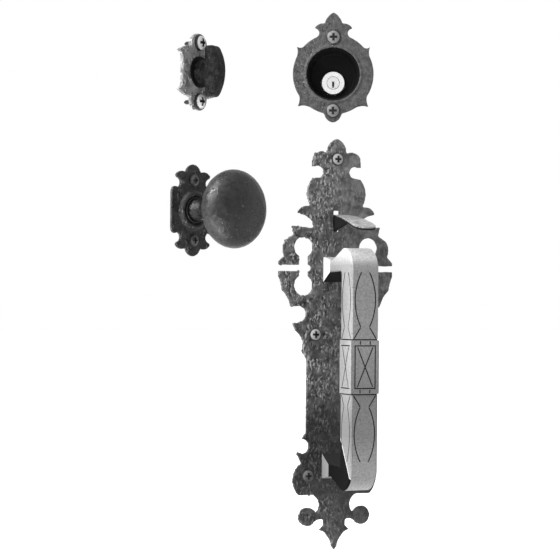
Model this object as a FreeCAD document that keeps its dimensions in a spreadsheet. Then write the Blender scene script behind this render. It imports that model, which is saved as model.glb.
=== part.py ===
"""Entry door handleset in hammered iron: exterior handle plate, deadbolt rose, interior knob, thumb turn.

Frame: millimetres, +Z up, +Y into the door. The origin is on the back of the handle plate, on the axis
of the thumb latch. Each of the other three trims stands by itself, turned about the upright axis.
"""
import FreeCAD, Part
import math
import os
from types import SimpleNamespace

V = FreeCAD.Vector

# Driving sizes, in millimetres, and turns in degrees
SIZES = {
    # Where the other trims stand, seen from the handle plate
    "rose_across": -3.6, "rose_rise": 139.7, "rose_turn": -24.0,
    "knob_across": -147.4, "knob_rise": 4.9, "knob_turn": 23.5,
    "latch_across": -143.8, "latch_rise": 134.0, "latch_turn": 34.0,
    # Clearances: a running shaft, a piece that is slipped in, and a cut's start in front of a domed face
    "run_gap": 0.06, "slip_gap": 0.15, "cut_clear": 1.0,
    # Handle plate
    "plate_thick": 3.2, "plate_above": 77.6, "plate_below": 318.1, "body_half": 30.4, "arm_reach": 59.8,
    "slit_drop": 47.4, "slit_gap": 5.1, "slit_start": 26.5,
    "eye_radius": 9.6, "eye_out": 33.9, "eye_drop": 45.6, "eye_spread": 36.6, "eye_link": 9.4,
    "thumb_slot_wide": 6.8, "thumb_slot_rise": 8.2, "thumb_slot_drop": 12.0,
    "top_screw_rise": 57.8, "mid_screw_out": 22.0, "mid_screw_drop": 110.9,
    "low_screw_out": 28.5, "low_screw_drop": 246.3,
    # Grip
    "grip_wide": 27.5, "grip_reach": 70.0, "grip_deep": 24.8, "grip_long": 228.0, "grip_drop": 28.8,
    "grip_corner": 21.0, "foot_tall": 23.8, "foot_inset": 7.8, "flare_deep": 18.6, "neck_reach": 22.0, "neck_tall": 14.7,
    "grip_bevel": 1.2, "band_long": 50.0, "band_proud": 0.6, "band_rise": 2.7,
    "line_wide": 1.1, "line_deep": 0.7, "line_inset": 2.85, "frame_inset": 4.6,
    "grip_screw_radius": 2.5, "grip_screw_long": 15.0, "grip_head_radius": 4.5, "grip_head_tall": 2.0,
    "grip_head_sunk": 2.1,
    # Thumb lever and its bracket
    "lever_thick": 4.6, "thumb_reach": 74.0, "thumb_wide": 23.0, "thumb_thick": 2.8, "thumb_droop": 14.4,
    "thumb_rise": 4.4, "thumb_sag": 4.0,
    "pivot_back": 8.0, "pivot_drop": 3.0, "eye_round": 6.5, "heel_reach": 11.3, "tail_reach": 45.0, "tail_tall": 5.0,
    "pin_radius": 2.5, "pin_head": 3.6, "pin_head_thick": 1.0,
    "ear_space": 3.0, "ear_thick": 1.8, "ear_reach": 15.0, "bracket_thick": 1.6, "bracket_sunk": 1.8,
    "bracket_wide": 30.0, "bracket_tall": 34.0, "rivet_out": 10.5, "rivet_radius": 1.5, "rivet_head": 2.8,
    "rivet_grip": 0.9,
    "lever_wire": 1.0, "lever_coil": 3.4, "lever_turns": 3.0,
    # Screws: head radius, head height, shank
    "plate_head": 6.2, "rose_head": 7.0, "knob_head": 5.7, "turn_head": 7.8,
    "head_tall": 3.2, "turn_head_tall": 4.6, "shank_radius": 2.1, "shank_long": 17.1,
    "screw_neck": 2.3, "screw_neck_long": 4.9, "cross_wide": 1.4,
    # Deadbolt rose
    "ring_radius": 38.9, "ring_thick": 3.2, "ring_hole": 25.5, "lip_wide": 2.2, "lip_tall": 0.9,
    "rose_screw_rise": 35.4,
    "cup_flange": 28.4, "cup_flange_thick": 1.2, "cup_mouth": 25.0, "cup_floor": 22.0,
    "cup_deep": 15.5, "cup_wall": 1.4,
    # Lock cylinder
    "lock_drop": 7.0, "face_radius": 11.4, "face_proud": 3.0, "collar_radius": 15.0, "collar_thick": 2.0,
    "barrel_radius": 8.6, "barrel_long": 27.0, "chest_wide": 8.6, "chest_tall": 17.0,
    "plug_radius": 6.3, "keyway_wide": 2.2, "keyway_rise": 1.4, "keyway_long": 27.0,
    "pin_bore": 1.3, "key_pin": 1.2, "pin_pitch": 4.3, "pin_first": 7.0, "driver_long": 4.4,
    "spring_wire": 0.35, "spring_coil": 0.9, "chest_lid": 1.2,
    "cap_radius": 8.0, "cap_thick": 3.0, "blade_wide": 8.0, "blade_thick": 1.8, "blade_long": 36.0,
    "lock_screw_out": 12.6, "lock_screw_radius": 1.2, "lock_screw_head": 2.1,
    # Interior knob
    "knob_plate_thick": 3.2, "knob_plate_half": 27.3, "knob_plate_tall": 86.0, "knob_screw_rise": 28.0,
    "boss_radius": 18.5, "boss_tall": 3.8, "boss_hole": 12.4,
    "knob_radius": 36.2, "knob_half_deep": 21.5, "knob_centre": 56.8, "neck_radius": 10.3,
    "waist_radius": 9.4, "knob_spindle": 8.0, "knob_spindle_in": 26.0, "knob_spindle_out": 20.0,
    "set_screw_radius": 2.0, "set_screw_reach": 16.0,
    "keeper_thick": 1.0, "keeper_groove": 1.4,
    # Interior thumb turn
    "turn_plate_thick": 3.8, "turn_plate_half": 25.3, "turn_plate_tall": 72.0, "turn_screw_rise": 27.4,
    "hub_radius": 11.0, "turn_ring_radius": 14.6, "turn_ring_tall": 1.6, "journal_radius": 7.5,
    "turn_tall": 48.0, "turn_wide": 13.0, "turn_back": 13.2, "turn_front": 30.4, "turn_soft": 3.0,
    "turn_bow": 40.0, "turn_nose": 5.0, "turn_heel": 3.3,
    "turn_shaft_radius": 4.5, "turn_shaft_out": 12.0, "turn_shaft_in": 9.0, "turn_slot": 2.2,
    "turn_slot_deep": 9.0,
    "turn_recess": 10.5, "turn_recess_deep": 1.5,
}

doc = FreeCAD.newDocument("handleset")
sheet = doc.addObject("Spreadsheet::Sheet", "sizes")
for row, (name, value) in enumerate(SIZES.items(), start=1):
    sheet.set(f"A{row}", name)
    sheet.set(f"B{row}", str(value))
    sheet.setAlias(f"B{row}", name)
doc.recompute()
mm = SimpleNamespace(**{name: float(sheet.get(name)) for name in SIZES})

parts = {}


# Drawing

def edges(start, *steps):
    """Edges from a start point: a step of one point is a straight run, a step of two is an arc through both."""
    here, made = V(*start, 0), []
    for step in steps:
        if isinstance(step[0], tuple):
            end = V(*step[1], 0)
            made.append(Part.Arc(here, V(*step[0], 0), end))
        else:
            end = V(*step, 0)
            made.append(Part.LineSegment(here, end))
        here = end
    return made


def closed(start, *steps):
    """The same, with a last straight run back to the start."""
    return edges(start, *steps, start)


def flipped(points, across, up):
    """The points of an outline, or of its steps, mirrored by the given signs."""
    if isinstance(points[0], tuple):
        return tuple(flipped(point, across, up) for point in points)
    return across * points[0], up * points[1]


def both_sides(start, *steps):
    """A closed outline whose right half runs from the top to the bottom of the centre line."""
    return edges(start, *steps) + edges(start, *[flipped(step, -1, 1) for step in steps])


def four_sides(start, *steps):
    """A closed outline from its upper right quarter, which ends on a level side above the middle."""
    corner = steps[-1][-1] if isinstance(steps[-1][0], tuple) else steps[-1]
    made = edges(corner, flipped(corner, 1, -1)) + edges(flipped(corner, -1, 1), flipped(corner, -1, -1))
    for across in (1, -1):
        for up in (1, -1):
            made += edges(flipped(start, across, up), *[flipped(step, across, up) for step in steps])
    return made


def rectangle(left, low, right, high):
    return closed((left, low), (right, low), (right, high), (left, high))


def circle(radius, across=0.0, up=0.0):
    return [Part.Circle(V(across, up, 0), V(0, 0, 1), radius)]


def on_ring(radius, degrees):
    return radius * math.cos(math.radians(degrees)), radius * math.sin(math.radians(degrees))


# Making solids: each body is drawn on its own planes

def body(label):
    made = doc.addObject("PartDesign::Body", label)
    made.Label = label
    parts[label] = made
    return made


def sketch(owner, plane, outline, lift=None):
    """Draws an outline on one of the body's own planes, lifted along the plane's normal."""
    drawn = owner.newObject("Sketcher::SketchObject", owner.Label + "_sketch")
    drawn.AttachmentSupport = (next(f for f in owner.Origin.OriginFeatures if f.Role == plane), [""])
    drawn.MapMode = "FlatFace"
    if lift:
        drawn.setExpression("AttachmentOffset.Base.z", lift)
    drawn.addGeometry(outline, False)
    drawn.Visibility = False
    return drawn


def pad(owner, plane, outline, length, lift=None, both_ways=False, backwards=False):
    """Adds material: forwards along the plane's normal, backwards, or half each way."""
    made = owner.newObject("PartDesign::Pad", owner.Label + "_pad")
    made.Profile = sketch(owner, plane, outline, lift)
    made.setExpression("Length", length)
    made.Midplane = both_ways
    made.Reversed = backwards
    doc.recompute()
    return made


def pocket(owner, plane, outline, length=None, lift=None, forwards=False):
    """Cuts against the plane's normal, or along it, or right through when no length is given."""
    made = owner.newObject("PartDesign::Pocket", owner.Label + "_pocket")
    made.Profile = sketch(owner, plane, outline, lift)
    if length:
        made.setExpression("Length", length)
        made.Reversed = forwards
    else:
        made.Type = "ThroughAll"
        made.Midplane = True
    doc.recompute()
    return made


def turned(owner, outline):
    """Turns a profile of radius and depth about the body's own Y axis."""
    made = owner.newObject("PartDesign::Revolution", owner.Label + "_turned")
    made.Profile = sketch(owner, "XY_Plane", outline)
    made.ReferenceAxis = (made.Profile[0], ["V_Axis"])
    made.Angle = 360.0
    doc.recompute()
    return made


def edges_of(base, wanted):
    """The last feature with the names of its edges for which wanted(edge) holds."""
    return base, [f"Edge{i}" for i, edge in enumerate(base.Shape.Edges, start=1) if wanted(edge)]


def soften(owner, base, radius, wanted):
    """Rounds the wanted edges of the last feature."""
    made = owner.newObject("PartDesign::Fillet", owner.Label + "_soft")
    made.Base = edges_of(base, wanted)
    made.setExpression("Radius", radius)
    doc.recompute()


def bevel(owner, base, width, wanted):
    """Takes the wanted edges of the last feature off at a slant."""
    made = owner.newObject("PartDesign::Chamfer", owner.Label + "_bevel")
    made.Base = edges_of(base, wanted)
    made.setExpression("Size", width)
    doc.recompute()


# Where each trim stands

def trim(across, rise, degrees):
    return FreeCAD.Placement(V(across, 0, rise), FreeCAD.Rotation(V(0, 0, 1), degrees))


HANDLE = trim(0, 0, 0)
ROSE = trim(mm.rose_across, mm.rose_rise, mm.rose_turn)
KNOB = trim(mm.knob_across, mm.knob_rise, mm.knob_turn)
TURN = trim(mm.latch_across, mm.latch_rise, mm.latch_turn)


def stand(made, where, across=0.0, back=0.0, up=0.0):
    made.Placement = where * FreeCAD.Placement(V(across, back, up), FreeCAD.Rotation())


def group(label, master, where, places):
    """One node of several like solids: a copy of the master at each (across, back, up) of a trim."""
    links = []
    for across, back, up in places:
        link = doc.addObject("App::Link", f"{label}_{len(links) + 1}")
        link.LinkedObject = master
        link.Placement = where * FreeCAD.Placement(V(across, back, up), FreeCAD.Rotation())
        links.append(link)
    made = doc.addObject("Part::Compound", label)
    made.Label = label
    made.Links = links
    parts[label] = made
    return made


def cross_screw(label, head, tall, head_name, tall_name):
    """A pan-head screw along Y: a domed head in front of its seat, a cross recess, a shank with a short point."""
    made = body(label + "_one")
    del parts[label + "_one"]
    point = mm.shank_radius
    rim = tall * 0.3
    crown = (head ** 2 + (tall - rim) ** 2) / (2 * (tall - rim))
    halfway = crown - tall - math.sqrt(crown ** 2 - head ** 2 / 4)
    turned(made, closed(
        (0, -tall),
        ((head / 2, halfway), (head, -rim)),
        (head, 0),
        (mm.screw_neck, 0),
        (mm.screw_neck, mm.screw_neck_long),
        (mm.shank_radius, mm.screw_neck_long),
        (mm.shank_radius, mm.shank_long - point),
        (mm.shank_radius * 0.4, mm.shank_long),
        (0, mm.shank_long),
    ))
    arm, wide = head * 0.5, mm.cross_wide / 2
    pocket(made, "XZ_Plane", closed(
        (arm, -wide), (arm, wide), (wide, wide), (wide, arm), (-wide, arm), (-wide, wide),
        (-arm, wide), (-arm, -wide), (-wide, -wide), (-wide, -arm), (wide, -arm), (wide, -wide),
    ), f"sizes.{tall_name} * 0.62 + sizes.cut_clear", f"sizes.{tall_name} + sizes.cut_clear")
    return made


# Handle plate

top = mm.plate_above
foot = -mm.plate_below
side = mm.body_half
arm = mm.arm_reach

plate = body("handle_plate")
pad(plate, "XZ_Plane", both_sides(
    # crown: bud, side lobe and round notch
    (0, top),
    ((7.0, top - 4.6), (10.0, top - 14.0)),
    ((18.4, top - 13.0), (25.1, top - 18.8)),
    (25.4, top - 27.5),
    (19.0, top - 27.0),
    ((13.5, top - 32.3), (18.5, top - 37.6)),
    # round shoulder, then the leaf and its underside
    (24.8, top - 38.4),
    ((30.7, top - 53.0), (27.0, top - 65.1)),
    (32.0, top - 65.1),
    ((37.6, top - 67.6), (40.5, top - 72.3)),
    ((32.4, top - 74.8), (25.4, top - 79.5)),
    (23.3, top - 86.3),
    # ear and arm, down to the arm's end
    (46.5, -6.7),
    (44.4, -15.4),
    (52.3, -20.2),
    ((55.6, -28.0), (53.9, -35.7)),
    (arm, -41.5),
    (arm, -54.9),
    ((57.6, -61.0), (56.0, -68.4)),
    (50.2, -75.2),
    (46.2, -84.8),
    # round notch, thorn and shoulder of the long body
    (40.4, -83.9),
    ((30.9, -91.4), (36.5, -98.6)),
    (44.4, -100.3),
    ((42.0, -106.6), (36.6, -111.8)),
    ((34.6, -119.5), (side + 5.0, -127.2)),
    (side, -134.0),
    # lower end of the body: thorns and a round notch
    (side, foot + 112.8),
    (side + 4.5, foot + 107.0),
    ((side - 3.1, foot + 98.8), (side + 7.6, foot + 94.2)),
    (side + 8.7, foot + 93.0),
    (side + 4.5, foot + 83.9),
    # round lobe and its level base
    ((43.3, foot + 70.0), (37.3, foot + 53.5)),
    (23.8, foot + 53.5),
    # throat, scroll and spear point
    ((16.0, foot + 44.5), (19.6, foot + 35.6)),
    ((37.2, foot + 33.4), (22.0, foot + 26.0)),
    ((16.6, foot + 29.6), (11.4, foot + 28.9)),
    (11.0, foot + 23.6),
    (15.9, foot + 19.0),
    ((10.6, foot + 17.2), (7.2, foot + 13.2)),
    ((4.2, foot + 9.0), (2.6, foot + 3.2)),
    (0, foot),
), "sizes.plate_thick")

eye_high = -mm.eye_drop + mm.eye_spread / 2
eye_low = -mm.eye_drop - mm.eye_spread / 2
eyes, links, slits = [], [], []
for across in (-1, 1):
    eyes += circle(mm.eye_radius, across * mm.eye_out, eye_high)
    eyes += circle(mm.eye_radius, across * mm.eye_out, eye_low)
    inner, outer = sorted((across * (mm.eye_out - mm.eye_link / 2), across * (mm.eye_out + mm.eye_link / 2)))
    links += rectangle(inner, eye_low, outer, eye_high)
    inner, outer = sorted((across * mm.slit_start, across * (arm + 5.0)))
    slits += rectangle(inner, -mm.slit_drop - mm.slit_gap / 2, outer, -mm.slit_drop + mm.slit_gap / 2)
pocket(plate, "XZ_Plane", eyes)
pocket(plate, "XZ_Plane", links)
pocket(plate, "XZ_Plane", slits)

screw_hole = mm.screw_neck + mm.slip_gap
plate_screw_places = [(0, mm.top_screw_rise)]
for across in (-1, 1):
    plate_screw_places.append((across * mm.mid_screw_out, -mm.mid_screw_drop))
    plate_screw_places.append((across * mm.low_screw_out, -mm.low_screw_drop))
grip_centre = -mm.grip_drop - mm.grip_long / 2
grip_foot = mm.grip_long / 2 - mm.foot_inset - mm.foot_tall / 2
grip_screw_places = [(0, grip_centre + up * grip_foot) for up in (1, -1)]
holes = []
for across, up in plate_screw_places:
    holes += circle(screw_hole, across, up)
for across, up in grip_screw_places:
    holes += circle(mm.grip_screw_radius + mm.slip_gap, across, up)
half_slot = mm.thumb_slot_wide / 2
holes += rectangle(-half_slot, -mm.thumb_slot_drop, half_slot, mm.thumb_slot_rise)
pocket(plate, "XZ_Plane", holes)
# the bracket and the heads of the grip's screws lie below the plate's back
half_wide, half_tall = mm.bracket_wide / 2, mm.bracket_tall / 2
bracket_low, bracket_high = -mm.pivot_drop - half_tall, -mm.pivot_drop + half_tall
pocket(plate, "XZ_Plane", rectangle(-half_wide - mm.slip_gap, bracket_low - mm.slip_gap,
                                    half_wide + mm.slip_gap, bracket_high + mm.slip_gap),
       "sizes.bracket_sunk", forwards=True)
rivet_holes = []
for across in (-1, 1):
    rivet_holes += circle(mm.rivet_radius + mm.run_gap, across * mm.rivet_out)
pocket(plate, "XZ_Plane", rivet_holes, "sizes.bracket_sunk + sizes.rivet_grip", forwards=True)
head_holes = []
for across, up in grip_screw_places:
    head_holes += circle(mm.grip_head_radius + mm.slip_gap, across, up)
pocket(plate, "XZ_Plane", head_holes, "sizes.grip_head_sunk", forwards=True)
stand(plate, HANDLE)

# Grip: drawn from the side about its middle, y forwards is negative

front = -mm.grip_reach
inner = front + mm.grip_deep
half = mm.grip_long / 2
foot_top = half - mm.foot_inset
foot_low = foot_top - mm.foot_tall
neck_top = foot_top - (mm.foot_tall - mm.neck_tall) * 0.37
seat = -mm.plate_thick
corner = mm.grip_corner
turn_y = front + corner
round_mid = corner * (1 - math.sqrt(0.5))
under = foot_low + 11.0
grip = body("grip")
bar = pad(grip, "YZ_Plane", closed(
    (seat, foot_top),
    (-mm.neck_reach, neck_top),
    (turn_y + 5.0, half - 1.5),
    ((turn_y + 2.4, half - 0.4), (turn_y, half)),
    ((front + round_mid, half - round_mid), (front, half - corner)),
    (front, -half + corner),
    ((front + round_mid, -half + round_mid), (turn_y, -half)),
    ((turn_y + 2.4, -half + 0.4), (turn_y + 5.0, -half + 1.5)),
    (-mm.neck_reach, -neck_top),
    (seat, -foot_top),
    (seat, -foot_low),
    (-mm.flare_deep, -under + 2.0),
    (inner + 4.6, -under + 1.2),
    ((inner + 1.1, -under + 1.9), (inner, -under + 4.8)),
    (inner, under - 4.8),
    ((inner + 1.1, under - 1.9), (inner + 4.6, under - 1.2)),
    (-mm.flare_deep, under - 2.0),
    (seat, foot_low),
), "sizes.grip_wide", both_ways=True)


def long_edge(edge):
    """An edge that lies in one of the grip's two flat sides, away from its seats on the plate."""
    box = edge.BoundBox
    return box.XLength < 1e-6 and box.YLength + box.ZLength > 1.0 and abs(box.YMax - seat) > 1e-6


def bar_edge(edge):
    box = edge.BoundBox
    return long_edge(edge) and (box.YMin < -mm.neck_reach - 1.0)


bevel(grip, bar, "sizes.grip_bevel", bar_edge)
band_low, band_high = mm.band_rise - mm.band_long / 2, mm.band_rise + mm.band_long / 2
pad(grip, "YZ_Plane", rectangle(front - mm.band_proud, band_low, inner + mm.band_proud, band_high),
    "sizes.grip_wide + 2 * sizes.band_proud", both_ways=True)


def ribbon(start, end):
    """A straight engraved line as a closed outline of the line's width."""
    along = V(end[0] - start[0], end[1] - start[1], 0).normalize() * (mm.line_wide / 2)
    side_x, side_y = -along.y, along.x
    return closed((start[0] + side_x, start[1] + side_y), (end[0] + side_x, end[1] + side_y),
                  (end[0] - side_x, end[1] - side_y), (start[0] - side_x, start[1] - side_y))


def bow(start, middle, end):
    """A curved engraved line through three points, as two arcs about one centre."""
    arc = Part.Arc(V(*start, 0), V(*middle, 0), V(*end, 0)).toShape().Curve
    points = []
    for grow in (mm.line_wide / 2, -mm.line_wide / 2):
        for point in (start, middle, end):
            out = V(*point, 0) - arc.Center
            points.append(arc.Center + out.normalize() * (arc.Radius + grow))
    outer, inner_arc = points[:3], points[3:]
    return [Part.Arc(*outer), Part.LineSegment(outer[2], inner_arc[2]),
            Part.Arc(*reversed(inner_arc)), Part.LineSegment(inner_arc[0], outer[0])]


def engrave(plane, lift, middle, wide, into, framed):
    """The traditional pattern on one face of the bar: a cross on the band, a waisted leaf at each end.

    middle is the face's centre line across the plane and wide its width. into says which way the cut goes,
    and framed whether the cross stands in a whole frame or between two short lines.
    """
    reach = wide / 2 - mm.line_inset
    width = mm.line_wide
    centre = mm.band_rise
    frame = mm.band_long / 2 - mm.frame_inset
    skin = f"{lift} + sizes.band_proud" if into else f"{lift} - sizes.band_proud"
    on_band = "sizes.line_deep"
    through_band = "sizes.line_deep + sizes.band_proud"
    left, right = middle - reach, middle + reach
    if framed:
        border = rectangle(left, centre - frame, right, centre + frame)
        border += rectangle(left + width, centre - frame + width, right - width, centre + frame - width)
    else:
        border = rectangle(left, centre - frame, right, centre - frame + width)
        border += rectangle(left, centre + frame - width, right, centre + frame)
    rise = frame - width - 0.8
    clear = reach * 0.72
    falling = ribbon((middle - clear, centre + rise), (middle + clear, centre - rise))
    rising = ribbon((middle - clear, centre - rise), (middle + clear, centre + rise))
    rings, flares, leaves, ties = [], [], [], []
    for up in (1, -1):
        edge = centre + up * mm.band_long / 2
        low, high = sorted((edge, edge + up * width))
        rings += rectangle(middle - wide / 2 - 2.0, low, middle + wide / 2 + 2.0, high)
        for across in (1, -1):
            def at(out, along):
                return middle + across * out * reach, edge + up * along
            flares += ribbon(at(1.04, 1.6), at(0.42, 12.0))
            leaves += bow(at(0.42, 12.6), at(0.96, 37.0), at(0.38, 63.4))
            tie = middle + across * reach * 0.46
            low, high = sorted((edge - up * 0.6, edge - up * (mm.frame_inset - 0.6)))
            ties += rectangle(tie - width / 2, low, tie + width / 2, high)
    forwards = not into
    pocket(grip, plane, border, on_band, skin, forwards)
    pocket(grip, plane, falling, on_band, skin, forwards)
    pocket(grip, plane, rising, on_band, skin, forwards)
    pocket(grip, plane, rings, through_band, skin, forwards)
    pocket(grip, plane, flares, through_band, skin, forwards)
    pocket(grip, plane, leaves, through_band, skin, forwards)
    if framed:
        pocket(grip, plane, ties, on_band, skin, forwards)


engrave("XZ_Plane", "sizes.grip_reach", 0.0, mm.grip_wide, True, True)
side_middle = (front + inner) / 2
engrave("YZ_Plane", "sizes.grip_wide / 2", side_middle, mm.grip_deep, True, False)
engrave("YZ_Plane", "-sizes.grip_wide / 2", side_middle, mm.grip_deep, False, False)
screw_bores = []
for up in (1, -1):
    screw_bores += circle(mm.grip_screw_radius + mm.run_gap, 0, up * grip_foot)
pocket(grip, "XZ_Plane", screw_bores, "sizes.grip_screw_long + sizes.grip_head_sunk + 0.5 - sizes.plate_thick",
       "sizes.plate_thick", forwards=True).Reversed = True
stand(grip, HANDLE, up=grip_centre)

grip_screw = body("grip_screw_one")
del parts["grip_screw_one"]
turned(grip_screw, closed(
    (0, mm.grip_head_tall), (mm.grip_head_radius * 0.8, mm.grip_head_tall), (mm.grip_head_radius, 0.6),
    (mm.grip_head_radius, 0), (mm.grip_screw_radius, 0), (mm.grip_screw_radius, -mm.grip_screw_long),
    (0, -mm.grip_screw_long),
))
group("grip_screws", grip_screw, HANDLE,
      [(across, -mm.grip_head_sunk, up) for across, up in grip_screw_places])

# Thumb lever: a drooping thumb piece on a web that goes through the slot to its pivot and tail

pivot = (mm.pivot_back, -mm.pivot_drop)
tail_high = pivot[1] + mm.tail_tall / 2
tail_low = pivot[1] - mm.tail_tall / 2
round_eye = mm.eye_round
eye_back = pivot[0] + math.sqrt(round_eye ** 2 - (mm.tail_tall / 2) ** 2)
blade_high = mm.thumb_rise
blade_sag = blade_high - mm.thumb_sag
blade_tip = blade_high - mm.thumb_droop
thick = mm.thumb_thick
heel_low = -9.6


def about_pivot(reach, rise):
    """The point in front of the pivot at this reach from it and at this height."""
    return pivot[0] - math.sqrt(reach ** 2 - (rise - pivot[1]) ** 2), rise


lever = body("thumb_lever")
pad(lever, "YZ_Plane", closed(
    (-mm.plate_thick - 1.2, blade_high),
    ((-mm.thumb_reach * 0.52, blade_sag), (-mm.thumb_reach, blade_tip)),
    (-mm.thumb_reach, blade_tip - thick),
    ((-mm.thumb_reach * 0.52, blade_sag - thick),
     (-mm.plate_thick - 1.2, blade_high - thick)),
), "sizes.thumb_wide + 4", both_ways=True)
stem = mm.lever_thick / 2
wide = mm.thumb_wide / 2
tip = -mm.thumb_reach
thumb_outline = (
    (0, -mm.plate_thick - 1.0),
    (stem, -mm.plate_thick - 1.0),
    (stem, -mm.plate_thick - 4.0),
    ((wide * 0.62, tip * 0.24), (wide * 0.82, tip * 0.45)),
    ((wide * 0.97, tip * 0.68), (wide, tip + 9.0)),
    ((wide * 0.72, tip + 2.2), (0, tip)),
)
pocket(lever, "XY_Plane", rectangle(-60, -90, 60, 60) + both_sides(*thumb_outline))
pad(lever, "YZ_Plane", closed(
    (-32.0, blade_high - 8.4),
    (-mm.plate_thick, heel_low),
    about_pivot(mm.heel_reach, heel_low),
    (about_pivot(mm.heel_reach, heel_low - 2.2), about_pivot(mm.heel_reach, heel_low - 4.0)),
    (pivot[0] - 1.0, pivot[1] - round_eye),
    ((pivot[0] + 2.6, pivot[1] - math.sqrt(round_eye ** 2 - 2.6 ** 2)), (eye_back, tail_low)),
    (mm.tail_reach - 2.5, tail_low),
    ((mm.tail_reach, pivot[1]), (mm.tail_reach - 2.5, tail_high)),
    (eye_back, tail_high),
    ((pivot[0] + 2.6, pivot[1] + math.sqrt(round_eye ** 2 - 2.6 ** 2)), (pivot[0] - 1.0, pivot[1] + round_eye)),
    (0, blade_high),
    (-mm.plate_thick - 1.5, blade_high - 0.4),
    (-32.0, blade_high - 5.6),
), "sizes.lever_thick", both_ways=True)
pocket(lever, "YZ_Plane", circle(mm.pin_radius + mm.run_gap, *pivot))
stand(lever, HANDLE)

bracket = body("lever_bracket")
window = mm.lever_thick / 2 + 0.5
pad(bracket, "XZ_Plane", rectangle(-half_wide, bracket_low, half_wide, bracket_high)
    + rectangle(-window, -mm.thumb_slot_drop, window, mm.thumb_slot_rise),
    "sizes.bracket_thick", "sizes.bracket_sunk - sizes.bracket_thick")
ear_start = mm.bracket_thick / 2 - mm.bracket_sunk
ear_outline = (
    (ear_start, pivot[1] - 8.0),
    (pivot[0], pivot[1] - 5.6),
    ((pivot[0] + 5.6, pivot[1]), (pivot[0], pivot[1] + 5.6)),
    (ear_start, pivot[1] + 8.0),
)
pad(bracket, "YZ_Plane", closed(*ear_outline), "sizes.ear_thick", "sizes.ear_space")
pad(bracket, "YZ_Plane", closed(*ear_outline), "sizes.ear_thick", "-sizes.ear_space", backwards=True)
pocket(bracket, "YZ_Plane", circle(mm.pin_radius + mm.run_gap, *pivot))
pocket(bracket, "XZ_Plane", [hole for across in (-1, 1)
                             for hole in circle(mm.rivet_radius + mm.run_gap, across * mm.rivet_out)])
stand(bracket, HANDLE)

ear_out = mm.ear_space + mm.ear_thick
coil_long = mm.lever_turns * (mm.lever_wire + 0.15)
pin = body("lever_pin")
pad(pin, "YZ_Plane", circle(mm.pin_radius, *pivot), f"{ear_out + 0.1} + {ear_out + 0.1 + coil_long + 1.6}",
    f"-{ear_out + 0.1}")
pad(pin, "YZ_Plane", circle(mm.pin_head, *pivot), "sizes.pin_head_thick", f"-{ear_out + 0.1}", backwards=True)
pad(pin, "YZ_Plane", circle(mm.pin_head + 0.4, *pivot), "sizes.pin_head_thick", f"{ear_out + 0.1 + coil_long + 1.6}")
stand(pin, HANDLE)

rivet = body("bracket_rivet_one")
del parts["bracket_rivet_one"]
turned(rivet, closed(
    (0, 0.1 - mm.rivet_grip), (mm.rivet_radius, 0.1 - mm.rivet_grip), (mm.rivet_radius, mm.bracket_thick),
    (mm.rivet_head, mm.bracket_thick),
    ((mm.rivet_head * 0.8, mm.bracket_thick + 1.0), (mm.rivet_head * 0.3, mm.bracket_thick + 1.4)),
    (0, mm.bracket_thick + 1.4),
))
group("bracket_rivets", rivet, HANDLE,
      [(across * mm.rivet_out, -mm.bracket_sunk, 0) for across in (-1, 1)])


def coil(label, radius, wire, pitch, turns, tails=()):
    """A wound spring along its own Z axis: a round wire swept along a helix."""
    helix = Part.makeHelix(pitch, pitch * turns, radius)
    path = Part.Wire(helix.Edges)
    start = path.Edges[0].valueAt(path.Edges[0].FirstParameter)
    along = path.Edges[0].tangentAt(path.Edges[0].FirstParameter)
    section = Part.Wire(Part.makeCircle(wire / 2, start, along))
    shape = path.makePipeShell([section], True, True)
    made = doc.addObject("Part::Feature", label)
    made.Label = label
    made.Shape = shape
    return made


winding = coil("lever_spring", mm.lever_coil, mm.lever_wire, mm.lever_wire + 0.15, mm.lever_turns)
parts["lever_spring"] = winding
winding.Placement = FreeCAD.Placement(
    V(ear_out + 0.9, mm.pivot_back, -mm.pivot_drop), FreeCAD.Rotation(V(0, 1, 0), 90))

plate_screw = cross_screw("plate_screw", mm.plate_head, mm.head_tall, "plate_head", "head_tall")
group("plate_screws", plate_screw, HANDLE,
      [(across, -mm.plate_thick, up) for across, up in plate_screw_places])

# Deadbolt rose: a ring with a bud above, leaf points at its sides and a lobe below

ring = mm.ring_radius
rose = body("cylinder_rose")
pad(rose, "XZ_Plane", both_sides(
    (0, ring + 20.5),
    ((3.5, ring + 18.2), (6.0, ring + 15.3)),
    ((7.7, ring + 12.6), (8.2, ring + 9.7)),
    ((14.2, ring + 9.0), (18.2, ring + 4.9)),
    ((13.7, ring + 0.2), on_ring(ring, 65.5)),
    (on_ring(ring, 54.0), on_ring(ring, 43.0)),
    ((31.6, 25.0), (35.4, 26.6)),
    ((34.4, 22.2), on_ring(ring, 26.6)),
    (on_ring(ring, -3.0), on_ring(ring, -33.5)),
    ((32.6, -27.0), (34.2, -31.6)),
    ((28.4, -30.6), on_ring(ring, -58.2)),
    (on_ring(ring, -68.0), on_ring(ring, -77.5)),
    ((5.8, -ring - 4.8), (0, -ring - 7.8)),
), "sizes.ring_thick")
pad(rose, "XZ_Plane", circle(mm.ring_hole + mm.lip_wide), "sizes.lip_tall", "sizes.ring_thick")
pocket(rose, "XZ_Plane", circle(mm.ring_hole))
pocket(rose, "XZ_Plane", circle(mm.cup_flange + mm.slip_gap), "sizes.cup_flange_thick", forwards=True)
pocket(rose, "XZ_Plane", circle(screw_hole, 0, mm.rose_screw_rise) + circle(screw_hole, 0, -mm.rose_screw_rise))
stand(rose, ROSE)

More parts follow.
